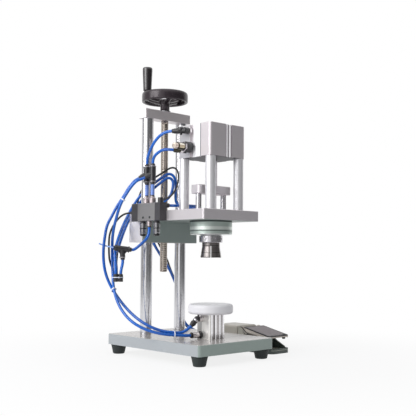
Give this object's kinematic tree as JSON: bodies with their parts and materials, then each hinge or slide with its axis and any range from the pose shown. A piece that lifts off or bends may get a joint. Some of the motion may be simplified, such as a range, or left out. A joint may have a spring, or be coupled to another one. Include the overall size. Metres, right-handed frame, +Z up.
{
  "type": "pneumatic capping machine",
  "caption": "Bench-top pneumatic bottle capping press: column stand, screw-adjusted head with pressing cylinder and jaw collet, lifting rest and foot pedal.",
  "frame": {"origin": "centre of the bottle rest's top face, on the spindle axis, with the rest at the bottom of its stroke", "axes": "+Z up along the spindle, +X to the machine's right, +Y from the front to the columns at the back"},
  "size_m": [0.3645, 0.292, 0.6259],
  "materials": {
    "grey_paint": "satin grey-green enamel",
    "green_paint": "dark green-grey textured paint",
    "beige_paint": "beige satin paint",
    "pedal_plate": "ribbed brown-grey covering on sheet metal",
    "black_rubber": "matt moulded rubber",
    "hard_chrome": "polished hard chrome",
    "bright_steel": "machined and polished",
    "dark_steel": "dark ground tool steel",
    "anodised_plate": "fine milled, clear anodised",
    "bronze": "turned bearing bronze",
    "nickel_brass": "turned, lightly nickelled",
    "dark_wheel": "satin dark brown-black thermoset",
    "black_gloss": "polished black thermoset",
    "black_plastic": "moulded black plastic",
    "white_acetal": "turned white acetal, slightly translucent",
    "blue_hose": "smooth blue polyurethane tube",
    "black_hose": "smooth black polyurethane tube"
  },
  "bodies": {
    "stand": {"base_plate": "grey_paint", "base_feet": "black_rubber", "columns": "hard_chrome", "crossbar": "anodised_plate", "thrust_bush": "bronze", "lift_barrel": "anodised_plate", "lift_fittings": "black_plastic", "pedal_base": "green_paint", "pedal_body": "beige_paint"},
    "screw": {"lead_screw": "bright_steel", "handwheel": "dark_wheel", "handle_spindle": "bright_steel"},
    "grip": {"handle_grip": "black_gloss"},
    "carriage": {"carriage_block": "anodised_plate", "head_plate": "anodised_plate", "screw_nut": "bronze", "column_bushes": "bronze", "guide_bushes": "bronze", "head_posts": "bright_steel", "cylinder_barrel": "anodised_plate", "cylinder_caps": "anodised_plate", "collet_core": "dark_steel", "valve_body": "anodised_plate", "valve_end_caps": "black_plastic", "silencers": "nickel_brass", "valve_fittings": "nickel_brass", "pilot_fittings": "black_plastic", "hose_tees": "black_plastic", "flow_control": "black_plastic", "exhaust_valve": "nickel_brass", "supply_tee": "black_plastic", "hose_coupling": "black_plastic", "hose_cylinder_top": "blue_hose", "hose_cylinder_bottom": "blue_hose", "hose_risers": "blue_hose", "hose_supply": "blue_hose", "hose_branch": "blue_hose", "hose_control": "blue_hose", "hose_lift_outer": "blue_hose", "hose_lift_inner": "blue_hose", "hose_pedal_feed": "blue_hose", "hose_pilot_front": "black_hose", "hose_pilot_rear": "black_hose"},
    "press": {"piston": "anodised_plate", "piston_rod": "hard_chrome", "yoke": "bright_steel", "push_rods": "hard_chrome", "closing_disc": "bright_steel", "closing_ring": "bright_steel"},
    "lift": {"lift_piston": "bright_steel", "platen": "white_acetal"},
    "spool": {"valve_spool": "bright_steel"},
    "treadle": {"pedal_treadle": "pedal_plate"},
    "plunger": {"pedal_plunger": "bright_steel"},
    "jaw_1": {"collet_jaw_1": "dark_steel"},
    "jaw_2": {"collet_jaw_2": "dark_steel"},
    "jaw_3": {"collet_jaw_3": "dark_steel"},
    "jaw_4": {"collet_jaw_4": "dark_steel"},
    "jaw_5": {"collet_jaw_5": "dark_steel"},
    "jaw_6": {"collet_jaw_6": "dark_steel"}
  },
  "joints": [
    {"name": "screw_turn", "type": "hinge", "parent": "stand", "child": "screw", "pos_m": [0, 0.1515, 0.3], "axis": [0, 0, 1], "range_deg": [-9004, 4954]},
    {"name": "grip_spin", "type": "hinge", "parent": "screw", "child": "grip", "pos_m": [-0.03532, 0.17028, 0.49], "axis": [0, 0, 1], "continuous": true},
    {"name": "carriage_slide", "type": "slide", "parent": "stand", "child": "carriage", "axis": [0, 0, 1], "range_m": [-0.055, 0.1], "deforming": ["hose_lift_outer", "hose_lift_inner", "hose_pedal_feed", "hose_pilot_front", "hose_pilot_rear"]},
    {"name": "press_stroke", "type": "slide", "parent": "carriage", "child": "press", "axis": [0, 0, -1], "range_m": [0, 0.02]},
    {"name": "lift_stroke", "type": "slide", "parent": "stand", "child": "lift", "axis": [0, 0, 1], "range_m": [0, 0.02]},
    {"name": "spool_shuttle", "type": "slide", "parent": "carriage", "child": "spool", "axis": [0, 1, 0], "range_m": [-0.003, 0.003]},
    {"name": "pedal_press", "type": "hinge", "parent": "stand", "child": "treadle", "pos_m": [0.17475, 0.056, -0.066], "axis": [1, 0, 0], "range_deg": [0, 8], "stiffness_Nm_per_rad": 1.5, "springref_deg": -20.05},
    {"name": "plunger_stroke", "type": "slide", "parent": "stand", "child": "plunger", "axis": [0, 0, -1], "range_m": [0, 0.0049]},
    {"name": "jaw_1_close", "type": "hinge", "parent": "carriage", "child": "jaw_1", "pos_m": [0.01304, 0.00349, 0.132], "axis": [-0.2588, 0.9659, 0], "range_deg": [0, 3.25]},
    {"name": "jaw_2_close", "type": "hinge", "parent": "carriage", "child": "jaw_2", "pos_m": [0.00349, 0.01304, 0.132], "axis": [-0.9659, 0.2588, 0], "range_deg": [0, 3.25]},
    {"name": "jaw_3_close", "type": "hinge", "parent": "carriage", "child": "jaw_3", "pos_m": [-0.00955, 0.00955, 0.132], "axis": [-0.7071, -0.7071, 0], "range_deg": [0, 3.25]},
    {"name": "jaw_4_close", "type": "hinge", "parent": "carriage", "child": "jaw_4", "pos_m": [-0.01304, -0.00349, 0.132], "axis": [0.2588, -0.9659, 0], "range_deg": [0, 3.25]},
    {"name": "jaw_5_close", "type": "hinge", "parent": "carriage", "child": "jaw_5", "pos_m": [-0.00349, -0.01304, 0.132], "axis": [0.9659, -0.2588, 0], "range_deg": [0, 3.25]},
    {"name": "jaw_6_close", "type": "hinge", "parent": "carriage", "child": "jaw_6", "pos_m": [0.00955, -0.00955, 0.132], "axis": [0.7071, 0.7071, 0], "range_deg": [0, 3.25]}
  ],
  "couplings": [
    {"joint": "screw_turn", "follows": "carriage_slide", "rad_per_m": -1570.8},
    {"joint": "plunger_stroke", "follows": "pedal_press", "m_per_rad": 0.034},
    {"joint": "jaw_1_close", "follows": "press_stroke", "rad_per_m": 2.8},
    {"joint": "jaw_2_close", "follows": "press_stroke", "rad_per_m": 2.8},
    {"joint": "jaw_3_close", "follows": "press_stroke", "rad_per_m": 2.8},
    {"joint": "jaw_4_close", "follows": "press_stroke", "rad_per_m": 2.8},
    {"joint": "jaw_5_close", "follows": "press_stroke", "rad_per_m": 2.8},
    {"joint": "jaw_6_close", "follows": "press_stroke", "rad_per_m": 2.8}
  ]
}
